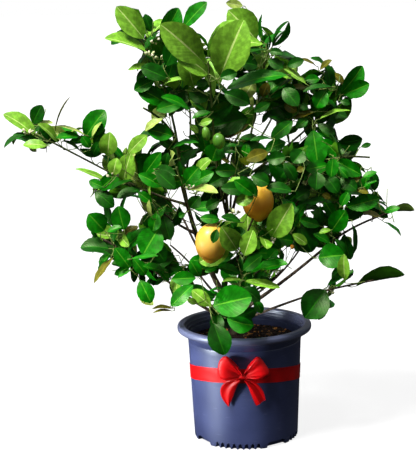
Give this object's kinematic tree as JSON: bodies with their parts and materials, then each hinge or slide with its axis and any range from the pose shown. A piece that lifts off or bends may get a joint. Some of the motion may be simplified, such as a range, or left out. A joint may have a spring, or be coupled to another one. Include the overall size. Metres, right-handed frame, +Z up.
{
  "type": "potted lemon tree",
  "caption": "Young lemon tree with ripe and green fruit, growing in a round plastic nursery pot that wears a ribbon and bow.",
  "frame": {"origin": "centre of the pot's flat underside", "axes": "+Z up along the pot's axis, -Y towards the bow, which is the side the picture shows"},
  "size_m": [0.832, 0.4971, 0.898],
  "materials": {
    "pot": "satin moulded plastic, slate blue",
    "mix": "dark bark chips and peat, rough",
    "ribbon": "red satin ribbon",
    "bark": "brown-grey bark, green on the young shoots",
    "foliage": "glossy leaves"
  },
  "bodies": {
    "root": {"pot": "pot", "potting_mix": "mix", "ribbon_band": "ribbon", "bow_knot": "ribbon", "bow_loop_left": "ribbon", "bow_loop_right": "ribbon", "bow_tail_left": "ribbon", "bow_tail_right": "ribbon", "trunk": "bark", "left_leader_bough": "bark", "centre_leader_bough": "bark", "right_leader_bough": "bark", "right_arm_bough": "bark", "low_right_bough": "bark", "low_left_bough": "bark", "foot_bough": "bark", "top_left_bough": "bark", "top_centre_bough": "bark", "top_right_bough": "bark", "right_top_bough": "bark", "right_mid_bough": "bark", "centre_low_bough": "bark", "low_centre_bough": "bark", "centre_left_bough": "bark", "left_mid_bough": "bark", "left_arm_bough": "bark", "back_left_bough": "bark", "back_right_bough": "bark", "back_centre_bough": "bark", "back_top_left_bough": "bark", "back_top_right_bough": "bark", "back_low_left_bough": "bark", "back_low_right_bough": "bark", "left_leader_leaves": "foliage", "centre_leader_leaves": "foliage", "right_leader_leaves": "foliage", "right_arm_leaves": "foliage", "low_right_leaves": "foliage", "low_left_leaves": "foliage", "foot_leaves": "foliage", "top_left_leaves": "foliage", "top_centre_leaves": "foliage", "top_right_leaves": "foliage", "right_top_leaves": "foliage", "right_mid_leaves": "foliage", "centre_low_leaves": "foliage", "low_centre_leaves": "foliage", "centre_left_leaves": "foliage", "left_mid_leaves": "foliage", "left_arm_leaves": "foliage", "back_left_leaves": "foliage", "back_right_leaves": "foliage", "back_centre_leaves": "foliage", "back_top_left_leaves": "foliage", "back_top_right_leaves": "foliage", "back_low_left_leaves": "foliage", "back_low_right_leaves": "foliage"}
  },
  "joints": []
}
